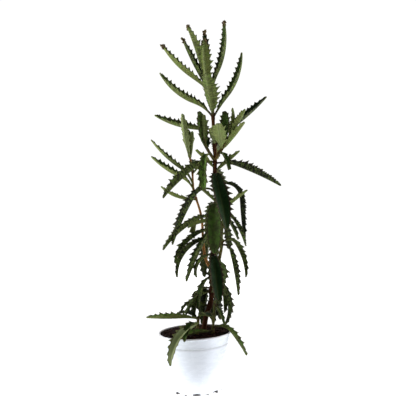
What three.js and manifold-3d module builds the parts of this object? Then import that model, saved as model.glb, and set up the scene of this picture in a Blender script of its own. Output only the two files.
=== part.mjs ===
// Potted mother of millions: a white nursery pot, bark soil and leafy shoots with toothed leaves.
// Millimetres and degrees, +Z up, -Y towards the viewer, origin at the middle of the pot's underside.
import * as THREE from 'three';
import { mergeVertices } from 'three/addons/utils/BufferGeometryUtils.js';
import Module from 'manifold-3d';

// Driving dimensions of the pot
const POT_HEIGHT = 103;
const RIM_RADIUS = 65;
const BASE_RADIUS = 45.5;
const POT_WALL = 1.7;
const COLLAR_HEIGHT = 19;
const COLLAR_STEP = 1.3;
const LIP_OVERHANG = 1.6;
const LIP_HEIGHT = 2.4;
const COLLAR_TAPER = 3;
const FOOT_CHAMFER = 1.2;
const LIP_CHAMFER = 0.8;
const POT_SIDES = 44;

// Drain notches, a large and a small one by turns round the foot
const NOTCH_PAIRS = 8;
const LARGE_NOTCH = { width: 11, height: 7 };
const SMALL_NOTCH = { width: 6.5, height: 5 };
const NOTCH_DEPTH = 12;
const NOTCH_REACH = 3;
const NOTCH_SIDES = 8;

// Soil
const SOIL_EDGE_DROP = 3.6;
const SOIL_CROWN = 1.5;
const SOIL_BUMP = 1.4;
const LUMP_ACROSS = 0.31;
const LUMP_DEEP = 0.27;
const LUMP_SLANT = 0.5;
const SOIL_RINGS = 5;
const SOIL_INSET = 1;
const GAP = 0.3;

// Leaves: one blade folded up along its midrib, with forward-pointing teeth
const TOOTH_PITCH = 14;
const TOOTH_CROWN = 1.1;
const TOOTH_NOTCH = 0.7;
const TOOTH_LEAN = 0.3;
const TOOTH_AT = 0.55;
const PETIOLE_WIDTH = 4.2;
const PETIOLE_THICKNESS = 3.2;
const PETIOLE_END = 0.8;
const PETIOLE_FOOT = { width: 0.9, fold: 0.2 };
const PETIOLE_HEAD = { thick: 0.8, fold: 0.5 };
const BLADE_THICKNESS = 2.3;
const BLADE_START = 0.13;
const WIDEST_POWER = 0.97;
const BLADE_FULLNESS = 0.55;
const FEWEST_TEETH = 3;
const FIRST_NOTCH = 0.15;
const TIP_THINNING = 0.45;
const USUAL_FOLD = 48;
const USUAL_ARCH = 0.35;

// Stems
const NODE_SWELLING = 1.22;
const NODE_HALF_LENGTH = 4;
const NODE_SPACING = 10;
const STEM_SIDES = 8;
const STEM_TOP = 0.8;
const RING_SPACING = 1;
const HALVINGS = 30;

const wasm = await Module();
wasm.setup();

const MERGE_DISTANCE = 1e-4;
const radians = (degrees) => (degrees * Math.PI) / 180;

// A closed solid from points and triangles
function solidFrom(points, triangles) {
  const mesh = new wasm.Mesh({
    numProp: 3,
    vertProperties: Float32Array.from(points.flat()),
    triVerts: Uint32Array.from(triangles.flat()),
  });
  return new wasm.Manifold(mesh);
}

// A closed solid from a three.js geometry
function solidFromGeometry(geometry) {
  const bare = geometry.clone();
  bare.deleteAttribute('normal');
  bare.deleteAttribute('uv');
  const merged = mergeVertices(bare, MERGE_DISTANCE);
  const mesh = new wasm.Mesh({
    numProp: 3,
    vertProperties: Float32Array.from(merged.attributes.position.array),
    triVerts: Uint32Array.from(merged.index.array),
  });
  return new wasm.Manifold(mesh);
}

// The named mesh of a finished solid
function namedMesh(name, solid, material) {
  const mesh = solid.getMesh();
  const geometry = new THREE.BufferGeometry();
  geometry.setAttribute('position', new THREE.BufferAttribute(mesh.vertProperties.slice(), 3));
  geometry.setIndex(new THREE.BufferAttribute(mesh.triVerts.slice(), 1));
  geometry.computeVertexNormals();
  const object = new THREE.Mesh(geometry, material);
  object.name = name;
  return object;
}

// Materials
const finish = (color, roughness) => new THREE.MeshStandardMaterial({ color, roughness, metalness: 0 });
const potPlastic = finish(0xf4f5f7, 0.35);
const barkSoil = finish(0x2e2119, 0.95);
const matureGreen = finish(0x2c4424, 0.6);
const youngGreen = finish(0x4f7335, 0.6);
const deepGreen = finish(0x233a1f, 0.6);

// Radius of the pot's outer wall at a height below the collar
const COLLAR_BOTTOM = POT_HEIGHT - COLLAR_HEIGHT;
const WALL_TOP_RADIUS = RIM_RADIUS - LIP_OVERHANG - COLLAR_STEP - COLLAR_TAPER;
const wallRadius = (z) => BASE_RADIUS + ((WALL_TOP_RADIUS - BASE_RADIUS) * z) / COLLAR_BOTTOM;

// Points round the pot's section, from the axis out, up the outside and down the inside
function potSection() {
  const collarFoot = WALL_TOP_RADIUS + COLLAR_STEP;
  const collarTop = RIM_RADIUS - LIP_OVERHANG;
  const lipFoot = POT_HEIGHT - LIP_HEIGHT;
  return [
    [0, 0],
    [BASE_RADIUS - FOOT_CHAMFER, 0],
    [wallRadius(FOOT_CHAMFER), FOOT_CHAMFER],
    [wallRadius(COLLAR_BOTTOM), COLLAR_BOTTOM],
    [collarFoot, COLLAR_BOTTOM + COLLAR_STEP],
    [collarTop, lipFoot - LIP_CHAMFER],
    [RIM_RADIUS, lipFoot],
    [RIM_RADIUS, POT_HEIGHT - LIP_CHAMFER],
    [RIM_RADIUS - LIP_CHAMFER, POT_HEIGHT],
    [collarTop - POT_WALL, POT_HEIGHT - LIP_CHAMFER],
    [collarFoot - POT_WALL, COLLAR_BOTTOM + COLLAR_STEP],
    [wallRadius(POT_WALL) - POT_WALL, POT_WALL],
    [0, POT_WALL],
  ];
}

// An upright or tapered solid of revolution about the pot's axis
function turned(section, sides) {
  const outline = section.map(([r, z]) => new THREE.Vector2(r, z));
  const geometry = new THREE.LatheGeometry(outline, sides);
  geometry.rotateX(Math.PI / 2);
  return solidFromGeometry(geometry);
}

// One drain notch: an oval cutter lying along a radius at the foot of the wall
function drainNotch(size, angle) {
  const cutter = new THREE.CylinderGeometry(1, 1, NOTCH_DEPTH, NOTCH_SIDES);
  cutter.scale(size.width / 2, 1, size.height);
  cutter.translate(0, BASE_RADIUS - NOTCH_DEPTH / 2 + NOTCH_REACH, 0);
  cutter.rotateZ(angle);
  return solidFromGeometry(cutter);
}

function makePot() {
  let pot = turned(potSection(), POT_SIDES);
  for (let pair = 0; pair < NOTCH_PAIRS; pair += 1) {
    const angle = (pair / NOTCH_PAIRS) * 2 * Math.PI;
    pot = pot.subtract(drainNotch(LARGE_NOTCH, angle));
    pot = pot.subtract(drainNotch(SMALL_NOTCH, angle + Math.PI / NOTCH_PAIRS));
  }
  return pot;
}

// Height of the soil's bumpy surface at a radius and angle
const SOIL_RADIUS = RIM_RADIUS - LIP_OVERHANG - POT_WALL - GAP - SOIL_INSET;
function soilHeight(radius, angle) {
  const x = radius * Math.cos(angle);
  const y = radius * Math.sin(angle);
  const crown = SOIL_CROWN * (1 - (radius / SOIL_RADIUS) ** 2);
  const bumps = Math.sin(LUMP_ACROSS * x + 1.3) * Math.cos(LUMP_DEEP * y)
    + 0.6 * Math.sin(LUMP_SLANT * (x + y));
  return POT_HEIGHT - SOIL_EDGE_DROP + crown + SOIL_BUMP * bumps;
}

// Soil: the pot's filling, a little clear of its wall, with a bumpy top
function makeSoil() {
  const bottom = POT_WALL + GAP;
  const bottomRadius = wallRadius(bottom) - POT_WALL - GAP;
  const points = [[0, 0, soilHeight(0, 0)]];
  const triangles = [];
  const ringStart = (ring) => 1 + (ring - 1) * POT_SIDES;
  for (let ring = 1; ring <= SOIL_RINGS; ring += 1) {
    for (let side = 0; side < POT_SIDES; side += 1) {
      const radius = (SOIL_RADIUS * ring) / SOIL_RINGS;
      const angle = (side / POT_SIDES) * 2 * Math.PI;
      points.push([radius * Math.cos(angle), radius * Math.sin(angle), soilHeight(radius, angle)]);
    }
  }
  for (let side = 0; side < POT_SIDES; side += 1) {
    const angle = (side / POT_SIDES) * 2 * Math.PI;
    points.push([bottomRadius * Math.cos(angle), bottomRadius * Math.sin(angle), bottom]);
  }
  points.push([0, 0, bottom]);
  const last = points.length - 1;
  for (let side = 0; side < POT_SIDES; side += 1) {
    const next = (side + 1) % POT_SIDES;
    triangles.push([0, ringStart(1) + side, ringStart(1) + next]);
    for (let ring = 1; ring <= SOIL_RINGS; ring += 1) {
      const inner = ringStart(ring);
      const outer = ringStart(ring + 1);
      triangles.push([inner + side, outer + side, outer + next]);
      triangles.push([inner + side, outer + next, inner + next]);
    }
    triangles.push([ringStart(SOIL_RINGS + 1) + next, ringStart(SOIL_RINGS + 1) + side, last]);
  }
  return solidFrom(points, triangles);
}

// A stem's centre line through hand-placed points, each [x, y, z]
const stemCurve = (points) => new THREE.CatmullRomCurve3(points.map((p) => new THREE.Vector3(...p)));

// The place along a rising stem, from 0 to 1, that lies at a height
function placeAtHeight(curve, height) {
  let low = 0;
  let high = 1;
  for (let step = 0; step < HALVINGS; step += 1) {
    const middle = (low + high) / 2;
    if (curve.getPoint(middle).z < height) {
      low = middle;
    } else {
      high = middle;
    }
  }
  return (low + high) / 2;
}

// Stem: rings round the centre line, wider at each leaf node
function makeStem(shoot, extra) {
  const { curve, footRadius, topRadius, nodes } = shoot;
  const bottom = curve.getPoint(0).z;
  const top = curve.getPoint(1).z;
  const stations = [[bottom, 1], [top, STEM_TOP]];
  for (const node of nodes) {
    stations.push([node - NODE_HALF_LENGTH, 1], [node, NODE_SWELLING], [node + NODE_HALF_LENGTH, 1]);
  }
  stations.sort((a, b) => a[0] - b[0]);
  const kept = stations.filter(([z], i) => i === 0 || z - stations[i - 1][0] > RING_SPACING);
  const sides = STEM_SIDES;
  const points = [];
  const triangles = [];
  for (const [z, swelling] of kept) {
    const along = placeAtHeight(curve, z);
    const centre = curve.getPoint(along);
    const tangent = curve.getTangent(along);
    const across = new THREE.Vector3(0, 1, 0).cross(tangent).normalize();
    const other = tangent.clone().cross(across);
    const radius = (footRadius + (topRadius - footRadius) * along) * swelling + extra;
    for (let side = 0; side < sides; side += 1) {
      const angle = (side / sides) * 2 * Math.PI;
      const offset = across.clone().multiplyScalar(radius * Math.cos(angle));
      offset.addScaledVector(other, radius * Math.sin(angle));
      points.push(centre.clone().add(offset).toArray());
    }
  }
  const end = kept.length - 1;
  for (let side = 0; side < sides; side += 1) {
    const next = (side + 1) % sides;
    for (let ring = 0; ring < end; ring += 1) {
      const a = ring * sides;
      const b = a + sides;
      triangles.push([a + side, a + next, b + next], [a + side, b + next, b + side]);
    }
    if (side > 1) {
      triangles.push([0, side, side - 1], [end * sides, end * sides + side - 1, end * sides + side]);
    }
  }
  return solidFrom(points, triangles);
}

// Slope of a leaf's midrib at a share of its length: from its foot over the arch, then on to its tip
function slopeAt({ rise, arch }, s) {
  const [foot, middle, tip] = rise;
  if (s < arch) {
    return foot + (middle - foot) * THREE.MathUtils.smoothstep(s, 0, arch);
  }
  return middle + ((tip - middle) * (s - arch)) / (1 - arch);
}

// Midrib points and directions at small steps along a leaf
const MIDRIB_STEPS = 60;
function midribOf(start, leaf) {
  const step = leaf.length / MIDRIB_STEPS;
  const place = start.clone();
  const midrib = [];
  for (let i = 0; i <= MIDRIB_STEPS; i += 1) {
    const s = i / MIDRIB_STEPS;
    const slope = radians(slopeAt(leaf, s));
    const heading = radians(leaf.azimuth + leaf.swerve * s);
    const along = new THREE.Vector3(
      Math.cos(slope) * Math.cos(heading), Math.cos(slope) * Math.sin(heading), Math.sin(slope));
    const up = new THREE.Vector3(
      -Math.sin(slope) * Math.cos(heading), -Math.sin(slope) * Math.sin(heading), Math.cos(slope));
    const across = along.clone().cross(up);
    const roll = radians(leaf.roll);
    const rolledAcross = across.clone().multiplyScalar(Math.cos(roll)).addScaledVector(up, Math.sin(roll));
    const rolledUp = up.clone().multiplyScalar(Math.cos(roll)).addScaledVector(across, -Math.sin(roll));
    midrib.push({ place: place.clone(), along, up: rolledUp, across: rolledAcross });
    place.addScaledVector(along, step);
  }
  return midrib;
}

// Sections along a leaf: where they lie, how wide, how thick, how folded and how far their edges lean on
function leafSections(leaf) {
  const teeth = Math.max(FEWEST_TEETH, Math.round((leaf.length * (1 - BLADE_START)) / TOOTH_PITCH));
  const pitch = (1 - BLADE_START) / teeth;
  const sections = [
    {
      s: 0,
      width: PETIOLE_WIDTH * PETIOLE_FOOT.width,
      thick: PETIOLE_THICKNESS,
      fold: PETIOLE_FOOT.fold,
      lean: 0,
    },
    {
      s: BLADE_START * PETIOLE_END,
      width: PETIOLE_WIDTH,
      thick: PETIOLE_THICKNESS * PETIOLE_HEAD.thick,
      fold: PETIOLE_HEAD.fold,
      lean: 0,
    },
  ];
  const lean = TOOTH_LEAN * pitch * leaf.length;
  const bladePlace = (u) => BLADE_START + (1 - BLADE_START) * u;
  const bladeWidth = (u) => leaf.width * Math.sin(Math.PI * u ** WIDEST_POWER) ** BLADE_FULLNESS;
  for (let tooth = 0; tooth < teeth; tooth += 1) {
    const notchAt = Math.max(tooth, FIRST_NOTCH) / teeth;
    const crownAt = (tooth + TOOTH_AT) / teeth;
    const thick = BLADE_THICKNESS * (1 - TIP_THINNING * crownAt);
    const notch = { s: bladePlace(notchAt), width: bladeWidth(notchAt) * TOOTH_NOTCH, lean: 0 };
    const crown = { s: bladePlace(crownAt), width: bladeWidth(crownAt) * TOOTH_CROWN, lean };
    for (const edge of [notch, crown]) {
      sections.push({ ...edge, width: Math.max(PETIOLE_WIDTH, edge.width), thick, fold: 1 });
    }
  }
  return sections;
}

// Leaf: four-sided sections, edge, top, edge and keel, drawn to a point at the tip
function makeLeaf(start, leaf) {
  const midrib = midribOf(start, leaf);
  const points = [];
  const triangles = [];
  const sections = leafSections(leaf);
  for (const { s, width, thick, fold, lean } of sections) {
    const { place, along, up, across } = midrib[Math.round(s * MIDRIB_STEPS)];
    const lift = radians(leaf.fold * fold);
    const aside = (width / 2) * Math.cos(lift);
    const raised = (width / 2) * Math.sin(lift);
    const left = place.clone().addScaledVector(across, -aside).addScaledVector(up, raised);
    const right = place.clone().addScaledVector(across, aside).addScaledVector(up, raised);
    left.addScaledVector(along, lean);
    right.addScaledVector(along, lean);
    const top = place.clone().addScaledVector(up, thick / 2);
    const keel = place.clone().addScaledVector(up, -thick / 2);
    points.push(left.toArray(), top.toArray(), right.toArray(), keel.toArray());
  }
  const tip = points.push(midrib[MIDRIB_STEPS].place.toArray()) - 1;
  const last = 4 * (sections.length - 1);
  for (let ring = 0; ring < last; ring += 4) {
    const next = ring + 4;
    triangles.push([ring, ring + 1, next + 1], [ring, next + 1, next]);
    triangles.push([ring + 2, next + 1, ring + 1], [ring + 2, next + 2, next + 1]);
    triangles.push([ring + 2, ring + 3, next + 3], [ring + 2, next + 3, next + 2]);
    triangles.push([ring, next + 3, ring + 3], [ring, next, next + 3]);
  }
  triangles.push([0, 3, 1], [1, 3, 2]);
  triangles.push([last, last + 1, tip], [last + 1, last + 2, tip]);
  triangles.push([last + 2, last + 3, tip], [last + 3, last, tip]);
  const solid = solidFrom(points, triangles);
  return solid.volume() < 0 ? solidFrom(points, triangles.map(([a, b, c]) => [a, c, b])) : solid;
}

// A row of a leaf list: height of its foot, heading, length, slopes at foot, arch and tip, width, fold,
// roll, swerve and the share of its length where the arch ends
function leafFromRow(row) {
  const [height, azimuth, length, foot, middle, tip, width] = row;
  const [fold = USUAL_FOLD, roll = 0, swerve = 0, arch = USUAL_ARCH] = row.slice(7);
  return { height, azimuth, length, rise: [foot, middle, tip], width, fold, roll, swerve, arch };
}

// A leafy shoot: its stem's points, radii, leaf nodes and leaves
function shootFrom(points, footRadius, topRadius, rows) {
  const leaves = rows.map(leafFromRow);
  const curve = stemCurve(points);
  const heights = leaves.map((leaf) => leaf.height).sort((a, b) => a - b);
  const nodes = heights.filter((height, i) => i === 0 || height - heights[i - 1] > NODE_SPACING);
  return { curve, footRadius, topRadius, nodes, leaves };
}

// Leaves fused to their stem, with their feet sunk to its middle
function shootParts(shoot) {
  const stem = makeStem(shoot, 0);
  const leaves = shoot.leaves.map((leaf) => {
    const foot = shoot.curve.getPoint(placeAtHeight(shoot.curve, leaf.height));
    return makeLeaf(foot, leaf);
  });
  return { stem, leaves };
}

function makeShoot(shoot) {
  const { stem, leaves } = shootParts(shoot);
  return leaves.reduce((whole, leaf) => whole.add(leaf), stem);
}

// Shoots, each with its stem's points, foot and top radius and its leaves. Main shoot first
const mainShoot = shootFrom(
  [[14, 0, 58], [15, 0, 100], [21, 0, 130], [29, 1, 152], [33, 2, 185], [36, 2, 225], [42, 1, 280],
    [46, 0, 330], [45, 0, 370], [47, 0, 410], [46, 0, 450], [46, 0, 490], [43, 0, 530], [41, 0, 552]],
  4.8, 2.6,
  [
    [146, 172, 62, 15, 18, -80, 15],
    [150, 85, 80, 25, -40, -80, 22],
    [176, 138, 84, 15, -50, -88, 24],
    [168, 176, 38, 20, 15, -50, 12],
    [172, -170, 66, 0, -38, -64, 20],
    [170, 112, 96, 20, -55, -88, 24],
    [197, -18, 104, -26, -70, -125, 22],
    [200, 28, 80, -10, -80, -92, 20],
    [200, -158, 72, -20, -66, -92, 20],
    [191, 80, 106, 20, -55, -88, 24],
    [236, -90, 99, 0, -64, -76, 32, 35, 0, 20],
    [236, 92, 115, 20, -55, -88, 26],
    [238, -160, 60, 0, -35, -105, 16],
    [266, -176, 109, 5, -32, -92, 25],
    [268, 112, 110, 20, -55, -88, 26],
    [280, 171, 103, 8, -31, -73, 25],
    [290, -161, 114, -46, -60, -66, 30, 40],
    [296, 182, 52, 5, -5, -30, 18],
    [300, 92, 120, 20, -50, -88, 26],
    [303, -168, 117, 12, -29, -53, 28],
    [326, -98, 110, 8, -71, -84, 36, 30],
    [326, 102, 124, 20, -45, -86, 28],
    [330, 186, 40, 46, 42, 44, 14],
    [350, -164, 139, 22, -58, -69, 32],
    [360, 0, 135, 15, -89, -84, 26, 48, 0, 0, 0.5],
    [378, -90, 135, 4, -56, -79, 38, 36, 0, 32],
    [384, -20, 58, 34, 32, 40, 18],
    [390, 186, 48, 46, 44, 46, 18],
    [384, 76, 100, 22, -42, -82, 26],
    [399, -4, 126, 4, -24, -32, 36, 46, -12],
    [401, -166, 119, 4, -36, -49, 36, 42, -18],
    [423, 13, 143, 67, 33, 48, 28, 48, -19],
    [432, -100, 38, 40, 40, 40, 16],
    [430, 86, 120, 30, 0, -25, 26],
    [460, 163, 120, 4, 12, 37, 28, 48, 21],
    [480, 171, 132, 56, 25, 65, 30, 48, 22],
    [479, 2, 132, 60, 49, 92, 26, 48, -22],
    [482, -99, 84, 42, 38, 50, 36, 40, 16],
    [526, -110, 94, 22, 73, 100, 26, 36, 16],
    [482, 95, 118, 45, 40, 58, 20],
    [514, 4, 143, 83, 63, 101, 26, 48, -19],
    [522, -143, 120, 62, 72, 64, 30, 36, 12],
    [524, 191, 106, 59, 61, 71, 24, 48, 28],
    [528, 179, 119, 41, 37, 62, 28, 48, 20],
    [530, 113, 115, 55, 91, 78, 18],
    [543, -125, 62, 66, 70, 74, 20, 40],
    [537, 10, 36, 50, 60, 75, 12],
  ],
);

// Side shoots of the main stem
const leftShoot = shootFrom(
  [[36, 2, 208], [28, 9, 218], [22, 14, 234], [20, 15, 262], [19, 14, 300], [16, 13, 318], [11, 12, 336],
    [6, 15, 356], [5, 20, 389], [2, 22, 412], [1, 22, 430]],
  2.6, 1.6,
  [
    [303, 150, 47, 12, -74, -88, 20],
    [337, 181, 71, 2, 12, 52, 16],
    [338, 104, 50, 30, 0, -20, 16],
    [356, 178, 99, 62, 26, 50, 24, 48, 18],
    [365, 174, 115, 70, 36, 58, 18, 48, 12],
    [385, 0, 30, 40, 50, 60, 9],
    [388, 90, 60, 50, 30, 20, 16],
    [414, -108, 82, 44, 66, 80, 18],
    [414, -55, 49, 60, 74, 90, 18],
    [424, 100, 45, 80, 80, 80, 16],
  ],
);

const upperRightShoot = shootFrom(
  [[46, 0, 402], [51, -4, 412], [58, -7, 421], [65, -9, 431], [70, -9, 443]],
  2.8, 2.2,
  [
    [415, -44, 44, 10, -60, -80, 18],
    [422, -98, 57, 39, 37, 44, 28, 30],
    [420, -4, 66, 40, 46, 54, 26],
    [433, -2, 66, 48, 68, 108, 20],
    [435, 80, 55, 84, 88, 88, 22, 40],
    [439, -10, 62, 46, 54, 64, 22],
  ],
);

const upperLeftShoot = shootFrom(
  [[45, 0, 405], [40, -5, 413], [35, -9, 421], [31, -11, 430], [28, -12, 441]],
  2.6, 2.0,
  [
    [414, -122, 80, 0, -76, -96, 26],
    [421, 140, 40, 52, 72, 84, 28, 34],
    [422, -160, 70, 52, 86, 84, 28, 28, 72],
    [436, -100, 47, 80, 84, 88, 20],
  ],
);

const rightShoot = shootFrom(
  [[36, 2, 206], [41, -4, 216], [47, -8, 230], [52, -9, 250], [53, -9, 270], [56, -9, 294], [59, -9, 320],
    [62, -9, 334]],
  3.2, 2.0,
  [
    [230, -75, 46, -55, -84, -92, 30, 24],
    [254, -12, 101, 2, -79, -86, 26, 46, 0, 0, 0.22],
    [257, 6, 95, 40, -62, -92, 22],
    [288, 72, 66, 20, -50, -85, 20],
    [306, -4, 73, 0, -62, -76, 18],
    [307, -34, 54, -35, -60, -66, 14],
    [318, -8, 53, 32, 35, 38, 16],
    [327, 80, 32, 40, 66, 80, 16],
  ],
);

// Young shoots that stand in the soil by themselves
const frontBasalShoot = shootFrom(
  [[4, -16, 60], [4, -17, 100], [6, -18, 120], [7, -18, 132]],
  2.6, 2.2,
  [
    [118, -114, 64, 20, 0, -75, 18],
    [121, -111, 112, -7, -8, -87, 26, 48, 0, -26],
    [128, 180, 91, 12, -1, 6, 24],
    [126, 130, 60, 30, 10, -20, 16],
    [129, -60, 50, 40, 10, -10, 16],
  ],
);

const rightBasalShoot = shootFrom(
  [[30, -14, 60], [31, -14, 100], [34, -14, 130], [37, -14, 158]],
  2.6, 2.0,
  [
    [105, -149, 72, 6, 0, -8, 24, 32],
    [111, -16, 84, 18, -54, -62, 18, 48, 0, 0, 0.48],
    [134, 80, 80, 30, -10, -60, 20],
    [152, -32, 42, -50, -64, -70, 12],
  ],
);

// Side shoots grow from the main stem, so their feet are hollowed to fit its side
const mainSleeve = makeStem(mainShoot, GAP);
const cutToMainStem = (solid) => solid.subtract(mainSleeve);

// Plain holes for the stems that stand in the soil
const standing = [mainShoot, frontBasalShoot, rightBasalShoot];
const soil = standing.reduce((earth, shoot) => earth.subtract(makeStem(shoot, GAP)), makeSoil());

const shoots = {
  main_shoot: { shoot: mainShoot, material: matureGreen },
  left_shoot: { shoot: leftShoot, material: youngGreen, side: true },
  upper_right_shoot: { shoot: upperRightShoot, material: youngGreen, side: true },
  upper_left_shoot: { shoot: upperLeftShoot, material: youngGreen, side: true },
  right_shoot: { shoot: rightShoot, material: deepGreen, side: true },
  front_basal_shoot: { shoot: frontBasalShoot, material: deepGreen },
  right_basal_shoot: { shoot: rightBasalShoot, material: deepGreen },
};

const pottedPlant = new THREE.Group();
pottedPlant.add(namedMesh('pot', makePot(), potPlastic));
pottedPlant.add(namedMesh('potting_soil', soil, barkSoil));
for (const [name, { shoot, material, side }] of Object.entries(shoots)) {
  const solid = makeShoot(shoot);
  pottedPlant.add(namedMesh(name, side ? cutToMainStem(solid) : solid, material));
}

export default pottedPlant;
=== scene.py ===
import math
from collections import namedtuple
from functools import wraps

import bpy
import numpy as np
from bpy.props import FloatProperty, FloatVectorProperty, IntProperty, PointerProperty
from mathutils import Euler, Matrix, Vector


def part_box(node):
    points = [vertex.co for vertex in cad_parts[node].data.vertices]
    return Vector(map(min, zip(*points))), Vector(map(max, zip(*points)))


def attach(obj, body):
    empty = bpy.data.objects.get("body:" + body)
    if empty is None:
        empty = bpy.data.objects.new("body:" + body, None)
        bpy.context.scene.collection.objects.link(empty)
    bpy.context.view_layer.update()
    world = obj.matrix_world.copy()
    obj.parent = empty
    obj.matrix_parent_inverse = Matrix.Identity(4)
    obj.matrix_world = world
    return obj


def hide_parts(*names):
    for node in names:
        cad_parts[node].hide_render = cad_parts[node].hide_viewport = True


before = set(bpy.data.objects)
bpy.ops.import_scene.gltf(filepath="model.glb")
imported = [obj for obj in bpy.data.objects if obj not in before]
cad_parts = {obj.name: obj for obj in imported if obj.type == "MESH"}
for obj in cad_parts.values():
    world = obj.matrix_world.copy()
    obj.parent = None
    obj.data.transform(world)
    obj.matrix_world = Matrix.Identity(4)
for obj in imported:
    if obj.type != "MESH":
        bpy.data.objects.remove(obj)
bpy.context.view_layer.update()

bl_info = {
    "name": "Potted mother of millions",
    "version": (1, 0, 0),
    "blender": (4, 5, 0),
    "location": "View3D > Sidebar > Potted plant",
    "description": "A tall toothed succulent in a white nursery pot of bark soil",
    "category": "Add Mesh",
}

MM = 0.001
POT_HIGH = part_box("pot")[1]
SOIL_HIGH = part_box("potting_soil")[1]

# Lengths are in millimetres and angles in degrees. A stem is a line of points x, y, z. A leaf's row gives
# the height of its foot, its heading, length, slopes at foot, arch and tip, width, and how fresh it is:
# 0 old and dark, 1 fresh green, 2 pale with bloom; a tone below 0 is painted shade for leaves deep in the
# plant, down to -1 nearly black. Where they differ from the usual, its fold, roll and swerve follow, and
# the share of its length where the arch ends
Leaf = namedtuple(
    "Leaf", "height heading length foot middle tip width tone fold roll swerve arch",
    defaults=(48, 0, 0, 0.35))
MAIN_STEM = [
    (14, 0, 58), (15, 0, 100), (21, 0, 130), (29, 1, 152), (33, 2, 185), (36, 2, 225), (42, 1, 280),
    (46, 0, 330), (45, 0, 370), (47, 0, 410), (46, 0, 450), (46, 0, 490), (43, 0, 530), (41, 0, 552),
]
LOWER_LEAVES = [
    (146, 172, 62, 15, 18, -80, 15, 0.3),
    (150, 85, 80, 25, -40, -80, 22, -0.7),
    (176, 138, 84, 15, -50, -88, 24, -0.4),
    (168, 176, 38, 20, 15, -50, 12, 0.0),
    (172, -170, 66, 0, -38, -64, 20, 0.2),
    (170, 112, 96, 20, -55, -88, 24, -0.7),
    (197, -18, 104, -26, -70, -125, 22, 0.0),
    (200, 28, 80, -10, -80, -92, 20, -0.4),
    (200, -158, 72, -20, -66, -92, 20, 0.1),
    (191, 80, 106, 20, -55, -88, 24, -0.7),
    (236, -90, 99, 0, -64, -76, 32, -0.1, 35, 0, 20),
    (236, 92, 115, 20, -55, -88, 26, -0.7),
    (238, -160, 60, 0, -35, -105, 16, 0.5),
    (266, -176, 109, 5, -32, -92, 25, 0.0),
    (268, 112, 110, 20, -55, -88, 26, -0.6),
]
MIDDLE_LEAVES = [
    (280, 171, 103, 8, -31, -73, 25, 0.1),
    (290, -161, 114, -46, -60, -66, 30, 0.3, 40),
    (296, 182, 52, 5, -5, -30, 18, 0.9),
    (300, 92, 120, 20, -50, -88, 26, -0.5),
    (303, -168, 117, 12, -29, -53, 28, 0.2),
    (326, -98, 110, 8, -71, -84, 36, 0.4, 30),
    (326, 102, 124, 20, -45, -86, 28, -0.4),
    (330, 186, 40, 46, 42, 44, 14, 0.9),
    (350, -164, 139, 22, -58, -69, 32, -0.2),
    (360, 0, 135, 15, -89, -84, 26, -0.8, 48, 0, 0, 0.5),
    (378, -90, 135, 4, -56, -79, 38, -0.15, 36, 0, 32),
    (384, -20, 58, 34, 32, 40, 18, 0.4),
    (390, 186, 48, 46, 44, 46, 18, 1.0),
    (384, 76, 100, 22, -42, -82, 26, 0.0),
    (399, -4, 126, 4, -24, -32, 36, -0.4, 46, -12),
    (401, -166, 119, 4, -36, -49, 36, 0.1, 42, -18),
]
CROWN_LEAVES = [
    (423, 13, 143, 67, 33, 48, 28, -0.1, 48, -19),
    (432, -100, 38, 40, 40, 40, 16, 1.1),
    (430, 86, 120, 30, 0, -25, 26, 0.0),
    (460, 163, 120, 4, 12, 37, 28, 0.75, 48, 21),
    (480, 171, 132, 56, 25, 65, 30, 0.7, 48, 22),
    (479, 2, 132, 60, 49, 92, 26, 0.45, 48, -22),
    (482, -99, 84, 42, 38, 50, 36, 0.5, 40, 16),
    (526, -110, 94, 22, 73, 100, 26, 0.9, 36, 16),
    (482, 95, 118, 45, 40, 58, 20, 0.1),
    (514, 4, 143, 83, 63, 101, 26, 0.5, 48, -19),
    (522, -143, 120, 62, 72, 64, 30, 0.5, 36, 12),
    (524, 191, 106, 59, 61, 71, 24, 0.2, 48, 28),
    (528, 179, 119, 41, 37, 62, 28, 0.95, 48, 20),
    (530, 113, 115, 55, 91, 78, 18, -0.1),
    (543, -125, 62, 66, 70, 74, 20, 0.9, 40),
    (537, 10, 36, 50, 60, 75, 12, 0.9),
]
LEFT_STEM = [
    (36, 2, 208), (28, 9, 218), (22, 14, 234), (20, 15, 262), (19, 14, 300), (16, 13, 318), (11, 12, 336),
    (6, 15, 356), (5, 20, 389), (2, 22, 412), (1, 22, 430),
]
LEFT_LEAVES = [
    (303, 150, 47, 12, -74, -88, 20, 0.9),
    (337, 181, 71, 2, 12, 52, 16, 1.0),
    (338, 104, 50, 30, 0, -20, 16, 0.6),
    (356, 178, 99, 62, 26, 50, 24, 1.1, 48, 18),
    (365, 174, 115, 70, 36, 58, 18, 1.2, 48, 12),
    (385, 0, 30, 40, 50, 60, 9, 0.8),
    (388, 90, 60, 50, 30, 20, 16, 0.6),
    (414, -108, 82, 44, 66, 80, 18, 1.4),
    (414, -55, 49, 60, 74, 90, 18, 0.7),
    (424, 100, 45, 80, 80, 80, 16, 0.4),
]
UPPER_RIGHT_STEM = [(46, 0, 402), (51, -4, 412), (58, -7, 421), (65, -9, 431), (70, -9, 443)]
UPPER_RIGHT_LEAVES = [
    (415, -44, 44, 10, -60, -80, 18, 0.3),
    (422, -98, 57, 39, 37, 44, 28, 1.3, 30),
    (420, -4, 66, 40, 46, 54, 26, 0.9),
    (433, -2, 66, 48, 68, 108, 20, 0.9),
    (435, 80, 55, 84, 88, 88, 22, 0.4, 40),
    (439, -10, 62, 46, 54, 64, 22, 0.8),
]
UPPER_LEFT_STEM = [(45, 0, 405), (40, -5, 413), (35, -9, 421), (31, -11, 430), (28, -12, 441)]
UPPER_LEFT_LEAVES = [
    (414, -122, 80, 0, -76, -96, 26, 1.0),
    (421, 140, 40, 52, 72, 84, 28, 0.1, 34),
    (422, -160, 70, 52, 86, 84, 28, 0.6, 28, 72),
    (436, -100, 47, 80, 84, 88, 20, 0.7),
]
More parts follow.
